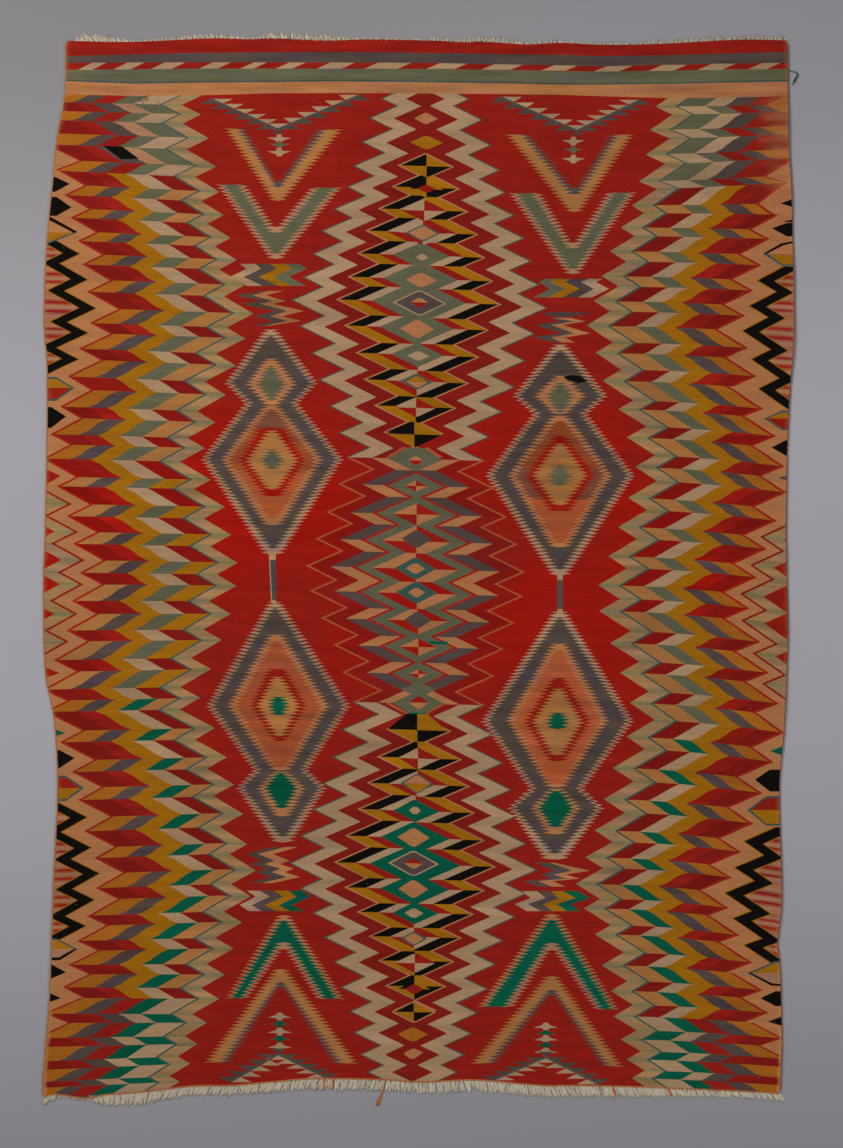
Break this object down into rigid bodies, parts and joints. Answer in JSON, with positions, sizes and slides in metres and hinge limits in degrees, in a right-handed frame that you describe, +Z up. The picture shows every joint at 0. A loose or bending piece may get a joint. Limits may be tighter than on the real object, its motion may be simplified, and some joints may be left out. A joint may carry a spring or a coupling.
{
  "type": "navajo rug",
  "caption": "Flat tapestry-woven wool rug in serrated and zigzag bands, with twined side cords and a short cotton warp fringe at both ends.",
  "frame": {"origin": "centre of the rug's outline with its fringe, on the surface it lies on", "axes": "+Y along the warp to the head end, +X along the weft to the right selvedge seen from above, +Z up out of the patterned face"},
  "size_m": [1.5103, 2.1562, 0.0032],
  "materials": {
    "wool_cloth": "weft-faced wool tapestry, matte, fine ribs along the warp, dyed red, gold, cream, green and slate",
    "left_cord_yarn": "two-ply wool cord, pale peach, a little frayed",
    "right_cord_yarn": "two-ply wool cord, teal with orange turns",
    "foot_cord_yarn": "two-ply wool cord, faded orange",
    "cotton_warp": "undyed cotton warp ends, matte, slightly soiled"
  },
  "bodies": {
    "root": {"cloth_panel": "wool_cloth", "selvedge_cord_left": "left_cord_yarn", "selvedge_cord_right": "right_cord_yarn", "end_cord_foot": "foot_cord_yarn", "fringe_head": "cotton_warp", "fringe_foot": "cotton_warp"}
  },
  "joints": []
}
